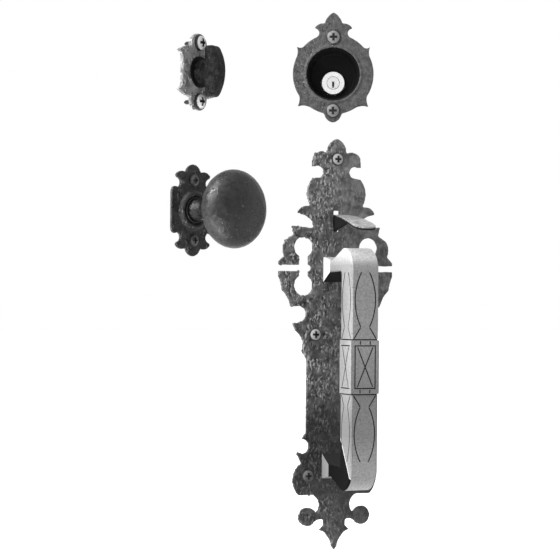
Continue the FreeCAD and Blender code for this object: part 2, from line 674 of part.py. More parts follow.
cup = body("cylinder_cup")
deep, wall = mm.cup_deep, mm.cup_wall
turned(cup, closed(
    (mm.cup_mouth, -mm.cup_flange_thick),
    (mm.cup_flange, -mm.cup_flange_thick),
    (mm.cup_flange, 0),
    (mm.cup_mouth + wall, 0),
    (mm.cup_floor + wall, deep + wall),
    (0, deep + wall),
    (0, deep),
    (mm.cup_floor - 2.0, deep),
    ((mm.cup_floor - 0.5, deep - 0.6), (mm.cup_floor, deep - 2.0)),
))
face_hole = mm.face_radius + mm.slip_gap
pocket(cup, "XZ_Plane", circle(face_hole, 0, -mm.lock_drop))
lock_screw_holes = []
for across in (-1, 1):
    lock_screw_holes += circle(mm.lock_screw_radius + mm.run_gap, across * mm.lock_screw_out, -mm.lock_drop)
stand(cup, ROSE)

# Lock cylinder, drawn about its own axis: housing, plug, pins, springs, lid, cap and blade

face_front = deep - mm.face_proud
collar_front = deep + wall
collar_back = collar_front + mm.collar_thick
barrel_back = collar_back + mm.barrel_long
housing = body("cylinder_body")
turned(housing, closed(
    (0, face_front),
    (mm.face_radius - 0.6, face_front),
    (mm.face_radius, face_front + 0.6),
    (mm.face_radius, collar_front),
    (mm.collar_radius, collar_front),
    (mm.collar_radius, collar_back),
    (mm.barrel_radius, collar_back),
    (mm.barrel_radius, barrel_back),
    (0, barrel_back),
))
half_chest = mm.chest_wide / 2
pad(housing, "XZ_Plane", rectangle(-half_chest, 0, half_chest, mm.chest_tall - mm.chest_lid),
    "sizes.barrel_long", f"-{barrel_back}")
pocket(housing, "XZ_Plane", circle(mm.plug_radius + mm.run_gap))
pin_places = [collar_back + mm.pin_first - 4.0 + i * mm.pin_pitch for i in range(5)]
bores = []
for y in pin_places:
    bores += circle(mm.pin_bore, 0, y)
pocket(housing, "XY_Plane", bores, "sizes.chest_tall", "sizes.chest_tall")
stand(housing, ROSE, up=-mm.lock_drop)

plug = body("cylinder_plug")
turned(plug, closed(
    (0, face_front - 0.3),
    (mm.plug_radius - 0.4, face_front - 0.3),
    (mm.plug_radius, face_front + 0.1),
    (mm.plug_radius, barrel_back + 0.3),
    (0, barrel_back + 0.3),
))
half_key = mm.keyway_wide / 2
keyway_low = -mm.plug_radius + 1.6
pocket(plug, "XZ_Plane", rectangle(-half_key, keyway_low, half_key, mm.keyway_rise),
       "sizes.keyway_long", f"{-(face_front - 0.3)}")
pocket(plug, "XY_Plane", bores, "sizes.plug_radius", "sizes.plug_radius")
stand(plug, ROSE, up=-mm.lock_drop)

shear = mm.plug_radius
key_pin_long = (4.4, 5.4, 4.8, 5.6, 4.2)


def round_pins(label, spans):
    """Plain round pins that stand up at the pin places, each from its low to its high end."""
    made = []
    for y, (low, high) in zip(pin_places, spans):
        one = doc.addObject("Part::Cylinder", f"{label}_{len(made) + 1}")
        one.setExpression("Radius", "sizes.key_pin")
        one.Height = high - low
        one.Placement = ROSE * FreeCAD.Placement(V(0, y, low - mm.lock_drop), FreeCAD.Rotation())
        made.append(one)
    whole = doc.addObject("Part::Compound", label)
    whole.Label = label
    whole.Links = made
    parts[label] = whole


round_pins("bottom_pins", [(shear - 0.1 - long, shear - 0.1) for long in key_pin_long])
driver_low = mm.plug_radius + 0.25
driver_high = driver_low + mm.driver_long
round_pins("driver_pins", [(driver_low, driver_high)] * 5)

lid_low = mm.chest_tall - mm.chest_lid
spring_long = lid_low - driver_high - mm.spring_wire - 0.2
pin_spring = coil("pin_spring_one", mm.spring_coil, mm.spring_wire, spring_long / 4, 4)
group("pin_springs", pin_spring, ROSE, [
    (0, y, driver_high + mm.spring_wire / 2 + 0.1 - mm.lock_drop) for y in pin_places])

lid = body("pin_cover")
pad(lid, "XY_Plane", rectangle(-half_chest, collar_back + 0.2, half_chest, barrel_back),
    "sizes.chest_lid", f"{lid_low}")
stand(lid, ROSE, up=-mm.lock_drop)

cap_front = barrel_back + 0.3
cap = body("tail_cap")
turned(cap, closed((0, cap_front), (mm.cap_radius, cap_front), (mm.cap_radius, cap_front + mm.cap_thick - 0.6),
                   (mm.cap_radius - 0.6, cap_front + mm.cap_thick), (0, cap_front + mm.cap_thick)))
blade_gap = mm.run_gap * 2
pocket(cap, "XZ_Plane", rectangle(-mm.blade_thick / 2 - blade_gap, -mm.blade_wide / 2 - blade_gap,
                                  mm.blade_thick / 2 + blade_gap, mm.blade_wide / 2 + blade_gap))
stand(cap, ROSE, up=-mm.lock_drop)
blade = body("tailpiece")
pad(blade, "XZ_Plane", rectangle(-mm.blade_thick / 2, -mm.blade_wide / 2, mm.blade_thick / 2, mm.blade_wide / 2),
    "sizes.blade_long", f"-{cap_front + 0.1}", backwards=True)
stand(blade, ROSE, up=-mm.lock_drop)

lock_screw = body("lock_screw_one")
del parts["lock_screw_one"]
turned(lock_screw, closed(
    (0, -mm.collar_thick - wall + 0.2), (mm.lock_screw_radius, -mm.collar_thick - wall + 0.2),
    (mm.lock_screw_radius, 0), (mm.lock_screw_head, 0),
    ((mm.lock_screw_head * 0.8, 1.0), (mm.lock_screw_head * 0.3, 1.4)), (0, 1.4),
))
pocket(cup, "XZ_Plane", lock_screw_holes)
pocket(housing, "XZ_Plane", [hole for across in (-1, 1) for hole in circle(
    mm.lock_screw_radius + mm.run_gap, across * mm.lock_screw_out)])
group("lock_screws", lock_screw, ROSE,
      [(across * mm.lock_screw_out, collar_back, -mm.lock_drop) for across in (-1, 1)])

rose_screw = cross_screw("rose_screw", mm.rose_head, mm.head_tall, "rose_head", "head_tall")
group("rose_screws", rose_screw, ROSE,
      [(0, -mm.ring_thick, up * mm.rose_screw_rise) for up in (1, -1)])

# Interior knob: plate with a round boss, bearing collar, knob, spindle and keeper

knob_top = mm.knob_plate_tall / 2
knob_side = mm.knob_plate_half
knob_plate = body("knob_plate")
pad(knob_plate, "XZ_Plane", four_sides(
    (0, knob_top),
    ((6.7, knob_top - 3.2), (9.3, knob_top - 7.7)),
    ((15.8, knob_top - 6.8), (21.8, knob_top - 10.6)),
    (20.4, knob_top - 13.2),
    ((16.0, knob_top - 17.6), (20.2, knob_top - 22.0)),
    ((knob_side - 2.4, knob_top - 21.6), (knob_side, knob_top - 25.0)),
), "sizes.knob_plate_thick")
plate_front = -mm.knob_plate_thick
boss = mm.boss_radius
turned(knob_plate, closed(
    (mm.boss_hole, -1.0),
    (boss, -1.0),
    (boss, plate_front),
    ((boss - 1.3, plate_front - mm.boss_tall * 0.75), (boss - 3.4, plate_front - mm.boss_tall)),
    ((mm.boss_hole + 1.2, plate_front - mm.boss_tall * 0.8), (mm.boss_hole, plate_front - mm.boss_tall * 0.4)),
))
pocket(knob_plate, "XZ_Plane", circle(mm.boss_hole))
pocket(knob_plate, "XZ_Plane", circle(screw_hole, 0, mm.knob_screw_rise) + circle(screw_hole, 0, -mm.knob_screw_rise))
stand(knob_plate, KNOB)

collar_in = mm.neck_radius + mm.run_gap
collar_out = mm.boss_hole - mm.slip_gap
collar_face = plate_front - mm.boss_tall * 0.9
collar = body("knob_collar")
turned(collar, closed((collar_in, collar_face), ((collar_out - 0.8, collar_face - 0.3), (collar_out, collar_face + 0.8)),
                      (collar_out, -0.2), (collar_in, -0.2)))
stand(collar, KNOB)

centre = mm.knob_centre
radius = mm.knob_radius
half_deep = mm.knob_half_deep
keeper_front = 0.1
keeper_back = keeper_front + mm.keeper_thick
neck = mm.neck_radius
groove = neck - mm.keeper_groove


def oval(degrees):
    """A point of the knob's oval section, as radius and depth, at an angle from its rim towards the front."""
    angle = math.radians(degrees)
    return radius * math.cos(angle), -centre - half_deep * math.sin(angle)


knob = body("knob")
rim = [oval(angle) for angle in range(-60, 91, 5)]
spline = Part.BSplineCurve()
spline.interpolate([V(*point, 0) for point in rim])
back_of_knob = rim[0]
knob_turned = edges((0, rim[-1][1]), (0, keeper_back + 1.4), (neck - 0.3, keeper_back + 1.4),
                    (neck - 0.3, keeper_back + 0.1), (groove, keeper_back + 0.1), (groove, keeper_front - 0.1),
                    (neck, keeper_front - 0.1), (neck, collar_face - 3.0),
                    ((mm.waist_radius, (collar_face - centre + half_deep) / 2 - 3.0),
                     back_of_knob)) + [spline]
turned(knob, knob_turned)
square = mm.knob_spindle / 2
pocket(knob, "XZ_Plane", rectangle(-square - mm.run_gap, -square - mm.run_gap, square + mm.run_gap, square + mm.run_gap),
       f"{keeper_back + 1.4} + sizes.knob_spindle_in + 0.4", f"-{keeper_back + 1.4}").Reversed = True
pocket(knob, "XY_Plane", circle(mm.set_screw_radius + mm.run_gap, 0, -mm.set_screw_reach),
       "sizes.neck_radius * 2", "0")
stand(knob, KNOB)

spindle = body("knob_spindle")
pad(spindle, "XZ_Plane", rectangle(-square, -square, square, square),
    "sizes.knob_spindle_in + sizes.knob_spindle_out", "-sizes.knob_spindle_out")
stand(spindle, KNOB)

set_screw = body("knob_set_screw")
set_low = mm.waist_radius - 0.1
pad(set_screw, "XY_Plane", circle(mm.set_screw_radius, 0, -mm.set_screw_reach),
    f"{set_low - square - 0.1}", f"-{set_low}")
stand(set_screw, KNOB)

keeper = body("knob_ring")
pad(keeper, "XZ_Plane", circle(collar_out) + circle(groove + mm.run_gap), "sizes.keeper_thick",
    f"-{keeper_front}", backwards=True)
stand(keeper, KNOB)

knob_screw = cross_screw("knob_screw", mm.knob_head, mm.head_tall, "knob_head", "head_tall")
group("knob_screws", knob_screw, KNOB,
      [(0, -mm.knob_plate_thick, up * mm.knob_screw_rise) for up in (1, -1)])

# Interior thumb turn: plate, ring, turn with its hub, shaft and keeper

turn_top = mm.turn_plate_tall / 2
turn_side = mm.turn_plate_half
turn_plate = body("turn_plate")
pad(turn_plate, "XZ_Plane", four_sides(
    (0, turn_top),
    ((9.4, turn_top - 3.6), (12.6, turn_top - 12.0)),
    ((20.6, turn_top - 13.4), (turn_side + 6.3, turn_top - 18.2)),
    ((turn_side + 1.3, turn_top - 20.8), (turn_side, turn_top - 25.4)),
), "sizes.turn_plate_thick")
pocket(turn_plate, "XZ_Plane", circle(mm.journal_radius + mm.run_gap))
pocket(turn_plate, "XZ_Plane", circle(mm.turn_recess), "sizes.turn_recess_deep", forwards=True)
pocket(turn_plate, "XZ_Plane", circle(screw_hole, 0, mm.turn_screw_rise) + circle(screw_hole, 0, -mm.turn_screw_rise))
stand(turn_plate, TURN)

turn_collar = body("turn_collar")
pad(turn_collar, "XZ_Plane", circle(mm.turn_ring_radius) + circle(mm.hub_radius + mm.slip_gap * 2),
    "sizes.turn_ring_tall", "sizes.turn_plate_thick")
stand(turn_collar, TURN)

hub_front = -mm.turn_back - 2.0
hub_back = -mm.turn_plate_thick - 0.1
keep_front = -mm.turn_recess_deep + 0.1
keep_back = keep_front + mm.keeper_thick
turn_groove = mm.journal_radius - mm.keeper_groove
turn = body("turn_grip")
turn_front, turn_rear = -mm.turn_front, -mm.turn_back
tall = mm.turn_tall / 2
nose, heel = mm.turn_nose, mm.turn_heel
bow_centre = turn_front + mm.turn_bow
nose_y = bow_centre - math.sqrt((mm.turn_bow - nose) ** 2 - (tall - nose) ** 2)
lean = math.atan2(tall - nose, bow_centre - nose_y)
meet = (bow_centre - mm.turn_bow * math.cos(lean), mm.turn_bow * math.sin(lean))
mid_lean = (lean + math.pi / 2) / 2
nose_mid = (nose_y - nose * math.cos(mid_lean), tall - nose + nose * math.sin(mid_lean))
heel_mid = (turn_rear - heel * (1 - math.sqrt(0.5)), tall - heel * (1 - math.sqrt(0.5)))
paddle = pad(turn, "YZ_Plane", edges(
    (turn_rear, -tall + heel),
    (turn_rear, tall - heel),
    (heel_mid, (turn_rear - heel, tall)),
    (nose_y, tall),
    (nose_mid, meet),
    ((turn_front, 0), flipped(meet, 1, -1)),
    (flipped(nose_mid, 1, -1), (nose_y, -tall)),
    (turn_rear - heel, -tall),
    (flipped(heel_mid, 1, -1), (turn_rear, -tall + heel)),
), "sizes.turn_wide", both_ways=True)
soften(turn, paddle, "sizes.turn_soft", lambda edge: edge.BoundBox.XLength < 1e-6)
turned(turn, closed(
    (0, hub_front), (mm.turn_wide / 2, hub_front), (mm.hub_radius, turn_rear + 1.0), (mm.hub_radius, hub_back),
    (mm.journal_radius, hub_back), (mm.journal_radius, keep_front - 0.1), (turn_groove, keep_front - 0.1),
    (turn_groove, keep_back + 0.1), (mm.journal_radius, keep_back + 0.1), (mm.journal_radius, 1.6), (0, 1.6),
))
pocket(turn, "XZ_Plane", circle(mm.turn_shaft_radius + mm.run_gap), "sizes.turn_shaft_in + 1.6", "-1.6").Reversed = True
stand(turn, TURN)

shaft = body("turn_spindle")
shaft_back = mm.turn_shaft_out
pad(shaft, "XZ_Plane", circle(mm.turn_shaft_radius), "sizes.turn_shaft_out + sizes.turn_shaft_in - 0.2",
    "-sizes.turn_shaft_out")
pocket(shaft, "XZ_Plane", rectangle(-mm.turn_slot / 2, -10, mm.turn_slot / 2, 10), "sizes.turn_slot_deep",
       "-sizes.turn_shaft_out").Reversed = True
stand(shaft, TURN)

turn_ring = body("turn_ring")
pad(turn_ring, "XZ_Plane", circle(mm.turn_recess - mm.slip_gap) + circle(turn_groove + mm.run_gap),
    "sizes.keeper_thick", f"{-keep_back}")
stand(turn_ring, TURN)

turn_screw = cross_screw("turn_screw", mm.turn_head, mm.turn_head_tall, "turn_head", "turn_head_tall")
group("turn_screws", turn_screw, TURN,
      [(0, -mm.turn_plate_thick, up * mm.turn_screw_rise) for up in (1, -1)])

# Checks, then one STEP file for each node

doc.recompute()
for item in doc.Objects:
    if {"Invalid", "Error"} & set(item.State):
        raise RuntimeError(f"{item.Label} didn't build: {item.State}")
    if item.TypeId == "PartDesign::Pocket":
        if item.Shape.Volume > item.BaseFeature.Shape.Volume - 1e-3:
            raise RuntimeError(f"{item.Label} cuts nothing")
os.makedirs("parts", exist_ok=True)
for name, item in parts.items():
    shape = item.Shape
    if shape.isNull() or not shape.isValid():
        raise RuntimeError(f"{name} has no valid shape")
    shape.exportStep(f"parts/{name}.step")
    print(f"{name}: {len(shape.Solids)} solids, {shape.Volume:.1f} mm3")
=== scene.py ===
import math

import bmesh
import bpy
import numpy as np
from mathutils import Matrix, Vector


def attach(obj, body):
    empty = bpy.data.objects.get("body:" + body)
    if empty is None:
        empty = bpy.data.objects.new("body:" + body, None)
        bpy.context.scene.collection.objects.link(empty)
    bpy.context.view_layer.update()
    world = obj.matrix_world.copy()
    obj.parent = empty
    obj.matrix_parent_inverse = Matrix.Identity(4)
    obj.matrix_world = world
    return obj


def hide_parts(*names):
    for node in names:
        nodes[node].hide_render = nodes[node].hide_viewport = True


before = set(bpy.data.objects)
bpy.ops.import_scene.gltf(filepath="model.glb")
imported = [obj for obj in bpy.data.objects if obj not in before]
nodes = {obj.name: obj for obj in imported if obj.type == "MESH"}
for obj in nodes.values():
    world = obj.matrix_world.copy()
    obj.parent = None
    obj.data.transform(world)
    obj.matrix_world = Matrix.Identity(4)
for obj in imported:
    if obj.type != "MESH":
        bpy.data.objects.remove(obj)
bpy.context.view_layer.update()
scene = bpy.context.scene

# Studio: the camera looks level through a long lens, 24 degrees from the left of the handle plate's
# face, rolled slightly as in the photo. The ground is pale and well below the set, the backdrop white.
LOOK_LEFT = math.radians(24.0)
ROLL = math.radians(0.45)
PICTURE = 560.0
FOCAL = 2000.0
MIDDLE_X, MIDDLE_Y = 334.84, 300.43
STAND_OFF = 1.928
EYE_HEIGHT = -0.0781

camera = bpy.data.objects.new("camera", bpy.data.cameras.new("camera"))
scene.collection.objects.link(camera)
camera.data.sensor_width = 36.0
camera.data.lens = FOCAL / PICTURE * 36.0
camera.data.shift_x = (PICTURE / 2.0 - MIDDLE_X) / PICTURE
camera.data.shift_y = (MIDDLE_Y - PICTURE / 2.0) / PICTURE
camera.data.clip_start, camera.data.clip_end = 0.05, 60.0
camera.location = (-STAND_OFF * math.sin(LOOK_LEFT), -STAND_OFF * math.cos(LOOK_LEFT), EYE_HEIGHT)
level = Matrix.Rotation(-LOOK_LEFT, 3, "Z") @ Matrix.Rotation(math.radians(90.0), 3, "X")
camera.rotation_euler = (level @ Matrix.Rotation(ROLL, 3, "Z")).to_euler()
scene.camera = camera
scene.view_settings.view_transform = "Standard"


def nodes_of(tree, *kinds):
    """New shader nodes of the given kinds."""
    return [tree.nodes.new("ShaderNode" + kind) for kind in kinds]


def feed(tree, value, socket):
    """Links an output to an input, or sets the input to a plain value."""
    if isinstance(value, bpy.types.NodeSocket):
        tree.links.new(value, socket)
    else:
        socket.default_value = value


def ramp_of(tree, value, start, end, low=0.0, high=1.0):
    """Goes from low to high while the value goes from start to end, and stays level past them."""
    made = nodes_of(tree, "MapRange")[0]
    for socket, number in zip(made.inputs, (value, start, end, low, high)):
        feed(tree, number, socket)
    return made.outputs["Result"]


def math_of(tree, kind, *values):
    """The result of a math node on outputs or plain numbers."""
    made = nodes_of(tree, "Math")[0]
    made.operation = kind
    for socket, value in zip(made.inputs, values):
        feed(tree, value, socket)
    return made.outputs[0]


def white_to_the_eye(tree, shader, seen):
    """Camera, glossy and transmission rays meet the second shader, and all others meet the first."""
    path, mix = nodes_of(tree, "LightPath", "MixShader")
    camera_ray, glossy_ray = path.outputs["Is Camera Ray"], path.outputs["Is Glossy Ray"]
    either = math_of(tree, "MAXIMUM", camera_ray, glossy_ray)
    feed(tree, math_of(tree, "MAXIMUM", either, path.outputs["Is Transmission Ray"]), mix.inputs[0])
    feed(tree, shader.outputs[0], mix.inputs[1])
    feed(tree, seen.outputs[0], mix.inputs[2])
    return mix


# The light all round is soft, and stronger from behind the set than from the camera's side.
world = bpy.data.worlds.new("studio")
scene.world = world
world.use_nodes = True
tree = world.node_tree
tree.nodes.clear()
around, seen, place, split, out = nodes_of(
    tree, "Background", "Background", "TexCoord", "SeparateXYZ", "OutputWorld")
FRONT_LIGHT, BACK_LIGHT = 0.20, 0.80
tree.links.new(place.outputs["Generated"], split.inputs[0])
feed(tree, ramp_of(tree, split.outputs["Y"], -0.2, 0.6, FRONT_LIGHT, BACK_LIGHT), around.inputs["Strength"])
around.inputs["Color"].default_value = (1.0, 1.0, 1.0, 1.0)
seen.inputs["Color"].default_value = (1.0, 1.0, 1.0, 1.0)
tree.links.new(white_to_the_eye(tree, around, seen).outputs[0], out.inputs[0])

ground_mesh = bpy.data.meshes.new("ground")
reach, low = 30.0, -0.62
corners = [(-reach, -reach, low), (reach, -reach, low), (reach, reach, low), (-reach, reach, low)]
ground_mesh.from_pydata(corners, [], [(0, 1, 2, 3)])
ground = bpy.data.objects.new("ground", ground_mesh)
scene.collection.objects.link(ground)
paper = bpy.data.materials.new("pale_ground")
paper.use_nodes = True
tree = paper.node_tree
tree.nodes.clear()
dim, plain, glow, lit, out = nodes_of(
    tree, "BsdfDiffuse", "BsdfDiffuse", "Emission", "AddShader", "OutputMaterial")
dim.inputs["Color"].default_value = (0.45, 0.45, 0.45, 1.0)
plain.inputs["Color"].default_value = (0.86, 0.86, 0.86, 1.0)
glow.inputs["Strength"].default_value = 0.40
tree.links.new(plain.outputs[0], lit.inputs[0])
tree.links.new(glow.outputs[0], lit.inputs[1])
tree.links.new(white_to_the_eye(tree, dim, lit).outputs[0], out.inputs[0])
ground_mesh.materials.append(paper)


def lamp(name, kind, place, aim, power):
    """A lamp at a place, turned to its aim."""
    made = bpy.data.objects.new(name, bpy.data.lights.new(name, kind))
    made.data.energy = power
    made.location = place
    made.rotation_euler = (Vector(aim) - Vector(place)).to_track_quat("-Z", "Y").to_euler()
    scene.collection.objects.link(made)
    return made.data


lamp("key", "SUN", (-2.3, -0.45, 1.35), (0.0, 0.0, 0.0), 2.9).angle = math.radians(36.0)
lamp("top", "SUN", (-0.3, -0.45, 1.5), (0.0, 0.0, 0.0), 1.1).angle = math.radians(25.0)
lamp("front", "AREA", (-1.5, -1.9, -0.3), (0.0, 0.0, -0.05), 6.0).size = 0.8
lamp("side", "AREA", (-0.90, 0.02, -0.50), (-0.12, -0.05, -0.03), 5.0).size = 0.5

# Two narrow lamps reach only the knob and its plate, and give the knob the two glints on its left side.
KNOB_NECK = (-0.155, -0.055, 0.005)
for name, place, power in (("glint_above", (-0.497, -0.098, 0.382), 26.0),
                           ("glint_below", (-0.347, -0.277, -0.423), 18.0)):
    narrow = lamp(name, "SPOT", place, KNOB_NECK, power)
    narrow.spot_size, narrow.spot_blend, narrow.shadow_soft_size = math.radians(12.0), 0.3, 0.05

# Handle plate: iron plate cut to a scrolled outline, hammered and pitted all over its face, with a
# satin black finish, and bright streaks painted on as highlights of its relief. Its back is plain.
LATTICE_WIDE = 48
LATTICE = np.random.default_rng(7).random((LATTICE_WIDE, LATTICE_WIDE, LATTICE_WIDE))


def rumple(points, cell):
    """Smooth noise from -1 to 1: random values on a cubic lattice of the cell, eased between corners."""
    at = points / cell
    base = np.floor(at).astype(int)
    part = at - base
    part = part * part * (3.0 - 2.0 * part)
    value = 0.0
    for dx in (0, 1):
        for dy in (0, 1):
            for dz in (0, 1):
                corner = np.array((dx, dy, dz))
                weight = np.prod(np.abs(1 - corner - part), axis=1)
                value = value + weight * LATTICE[tuple((base + corner).T % LATTICE_WIDE)]
    return value * 2.0 - 1.0


def even_copy(node, name, cell):
    """A closed copy of a CAD node, remade in even cells so that hammer marks can be pressed into it."""
    mesh = nodes[node].data.copy()
    work = bmesh.new()
    work.from_mesh(mesh)
    bmesh.ops.remove_doubles(work, verts=work.verts, dist=1e-6)
    work.to_mesh(mesh)
    work.free()
    piece = bpy.data.objects.new(name, mesh)
    scene.collection.objects.link(piece)
    cells = piece.modifiers.new("cells", "REMESH")
    cells.mode = "VOXEL"
    cells.voxel_size = cell
    cells.use_smooth_shade = True
    bpy.context.view_layer.update()
    seen_now = piece.evaluated_get(bpy.context.evaluated_depsgraph_get())
    made = bpy.data.meshes.new_from_object(seen_now)
    piece.modifiers.clear()
    piece.data = made
    made.materials.clear()
    return piece


def press(piece, height):
    """Moves every point along its own normal by height(points, normals), in metres."""
    mesh = piece.data
    count = len(mesh.vertices)
    points, normals = np.empty(count * 3), np.empty(count * 3)
    mesh.vertices.foreach_get("co", points)
    mesh.vertices.foreach_get("normal", normals)
    points, normals = points.reshape(-1, 3), normals.reshape(-1, 3)
    moved = points + normals * height(points, normals)[:, None]
    mesh.vertices.foreach_set("co", moved.ravel())
    mesh.update()


def hammer_marks(points, deep):
    """Worm-like dents: the ridges of one noise, bent by another, with broad shallow waves under them."""
    bent = points + 0.0016 * np.stack([rumple(points + shift, 0.006) for shift in (0.1, 0.2, 0.3)], axis=1)
    ridges = 1.0 - np.abs(rumple(bent, 0.0046)) * 2.0
    return deep * (0.6 * ridges + 0.7 * rumple(points, 0.016) - 0.7)


def facing(normals, toward):
    """How far a surface turns away from the door: 0 on the back, 1 on the front and the edges."""
    return np.clip(1.0 - (normals @ np.asarray(toward)) * 1.6, 0.0, 1.0)


def noise_of(tree, place, scale, detail, warp):
    """Noise from 0 to 1 over a place, with so many cells to the metre."""
    made = nodes_of(tree, "TexNoise")[0]
    for name, value in (("Vector", place), ("Scale", scale), ("Detail", detail), ("Distortion", warp)):
        feed(tree, value, made.inputs[name])
    return made.outputs["Fac"]


def tones_of(tree, value, stops):
    """Colours along a value: each stop is its place, from 0 to 1, and its colour."""
    made = nodes_of(tree, "ValToRGB")[0]
    row = made.color_ramp.elements
    while len(row) < len(stops):
        row.new(0.5)
    for mark, (position, colour) in zip(row, stops):
        mark.position = position
        mark.color = (*colour, 1.0)
    feed(tree, value, made.inputs["Fac"])
    return made.outputs["Color"]


def mix_of(tree, share, first, second, blend="MIX"):
    """Two colours mixed by a share, or the second multiplied into the first by it."""
    made = nodes_of(tree, "MixRGB")[0]
    made.blend_type = blend
    for socket, value in zip(made.inputs, (share, first, second)):
        feed(tree, value, socket)
    return made.outputs["Color"]


def iron(name, dark, light, painted_highlight, rough, gloss, cell, relief, streaks, pads=0.0, shade=()):
    """Black-finished iron, mottled dark to light, with painted highlights in streaks and painted shade
    in gullies beside them, over a pitted relief.

    cell is the size of the mottling, relief the depth of its pits and pads the size of leathery pads, all in
    metres. streaks is the share of the streaks that show, and shade a row of heights with the painted
    light and shade there.
    """
    made = bpy.data.materials.new(name)
    made.use_nodes = True
    tree = made.node_tree
    shader = tree.nodes["Principled BSDF"]
    shader.inputs["Specular IOR Level"].default_value = gloss
    place, split, lean, bump = nodes_of(tree, "TexCoord", "SeparateXYZ", "Mapping", "Bump")
    here = place.outputs["Object"]
    tree.links.new(here, split.inputs[0])
    tree.links.new(here, lean.inputs["Vector"])
    lean.inputs["Rotation"].default_value = (0.0, math.radians(18.0), 0.0)
    lean.inputs["Scale"].default_value = (1.0, 1.0, 0.5)
    mottle = noise_of(tree, here, 0.35 / cell, 5.0, 0.5)
    patch = noise_of(tree, here, 0.40 / cell, 2.0, 0.0)
    pits = noise_of(tree, here, 0.9 / cell, 3.0, 0.3)
    vein = noise_of(tree, lean.outputs["Vector"], 1.7 / cell, 1.5, 0.6)

    # painted highlights: streaks run along the veins, in patches and mostly on the lit left half, with
    # painted shade in the gullies beside them
    shown = ramp_of(tree, patch, 0.60 - 0.25 * streaks, 0.74 - 0.25 * streaks)
    leftward = ramp_of(tree, split.outputs["X"], -0.010, 0.012, 1.0, 0.22)
    streak = math_of(tree, "MULTIPLY", ramp_of(tree, vein, 0.56, 0.64), shown)
    streak = math_of(tree, "MULTIPLY", streak, leftward)
    gully = tones_of(tree, vein, ((0.36, (0.22, 0.22, 0.22)), (0.52, (1.0, 1.0, 1.0))))
    tone = mix_of(tree, streak, tones_of(tree, mottle, ((0.36, dark), (0.66, light))), (*painted_highlight, 1.0))
    tone = mix_of(tree, math_of(tree, "MULTIPLY", shown, leftward), tone, gully, "MULTIPLY")
    if shade:
        low, high = shade[0][0], shade[-1][0]
        stops = [((height - low) / (high - low), (grey, grey, grey)) for height, grey in shade]
        by_height = tones_of(tree, ramp_of(tree, split.outputs["Z"], low, high), stops)
        tone = mix_of(tree, 1.0, tone, by_height, "MULTIPLY")
    tree.links.new(tone, shader.inputs["Base Color"])

    height = math_of(tree, "MULTIPLY_ADD", streak, 0.35, pits)
    if pads:
        cracks = nodes_of(tree, "TexVoronoi")[0]
        cracks.feature = "DISTANCE_TO_EDGE"
        cracks.inputs["Scale"].default_value = 1.0 / pads
        tree.links.new(here, cracks.inputs["Vector"])
        height = math_of(tree, "ADD", height, ramp_of(tree, cracks.outputs["Distance"], 0.0, 0.30))
    bump.inputs["Distance"].default_value = relief
    tree.links.new(height, bump.inputs["Height"])
    tree.links.new(bump.outputs["Normal"], shader.inputs["Normal"])
    tree.links.new(ramp_of(tree, mottle, 0.3, 0.7, rough - 0.08, rough + 0.12), shader.inputs["Roughness"])
    return made


# the plate's shade row is painted shade, darkest beside the lower half of the grip
plate_iron = iron("plate_iron", (0.085, 0.085, 0.087), (0.270, 0.270, 0.274), (0.62, 0.62, 0.62),
                  0.48, 0.30, 0.0030, 0.00110, 0.85,
                  shade=((-0.32, 0.55), (-0.275, 0.34), (-0.23, 0.17), (-0.19, 0.18),
                         (-0.145, 0.72), (-0.09, 0.72), (-0.03, 0.82), (0.08, 1.0)))

PLATE_SCREWS = [(0.0, 0.0578), (0.022, -0.1109), (-0.022, -0.1109), (0.0285, -0.2463), (-0.0285, -0.2463)]


def ragged_edge(points, normals):
    """A rough-cut outline: side faces clear of the slot and the screws wander, mostly on the left half."""
    slot_clear, screw_clear = 0.009, 0.0058
    side = np.clip(1.0 - np.abs(normals[:, 1]) * 2.0, 0.0, 1.0) * (np.abs(points[:, 0]) > slot_clear)
    for x, z in PLATE_SCREWS:
        side = side * (np.hypot(points[:, 0] - x, points[:, 2] - z) > screw_clear)
    rough = np.interp(points[:, 0], (-0.010, 0.010), (1.0, 0.22))
    return side * rough * (0.0030 * rumple(points, 0.0044) + 0.0019 * rumple(points, 0.0023) - 0.0011)


def plate_face(points, normals):
    """Hammer marks on the front, deeper on the left half."""
    deep = np.interp(points[:, 0], (-0.012, 0.008), (0.00036, 0.00018))
    return hammer_marks(points, deep) * facing(normals, (0.0, 1.0, 0.0)) + ragged_edge(points, normals)


plate = even_copy("handle_plate", "handle_plate_hammered", 0.0009)
press(plate, plate_face)
plate.data.materials.append(plate_iron)
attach(plate, "set")
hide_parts("handle_plate")

# Deadbolt rose: ring-shaped plate of the same hammered iron, smoother than the handle plate, with a low
# rolled lip round its opening. Two screws through its leaves hold it on the door.
ROSE_BACK = (0.4067366, 0.9135455, 0.0)
rose_iron = iron("rose_iron", (0.052, 0.052, 0.054), (0.118, 0.118, 0.120), (0.24, 0.24, 0.24),
                 0.50, 0.28, 0.0014, 0.00050, 0.60)
rose = even_copy("cylinder_rose", "rose_hammered", 0.0008)
press(rose, lambda p, n: hammer_marks(p, 0.00014) * facing(n, ROSE_BACK))
rose.data.materials.append(rose_iron)
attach(rose, "set")
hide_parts("cylinder_rose")

# Knob plate: iron plate with leaf ends and a raised boss, hammered and dark. Two screws hold it.
KNOB_BACK = (-0.3987491, 0.9170601, 0.0)
knob_plate_iron = iron("knob_plate_iron", (0.017, 0.017, 0.018), (0.046, 0.046, 0.048), (0.16, 0.16, 0.16),
                       0.45, 0.20, 0.0026, 0.00060, 0.50)
knob_plate = even_copy("knob_plate", "knob_plate_hammered", 0.0008)
press(knob_plate, lambda p, n: hammer_marks(p, 0.00016) * facing(n, KNOB_BACK))
knob_plate.data.materials.append(knob_plate_iron)
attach(knob_plate, "set")
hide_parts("knob_plate")

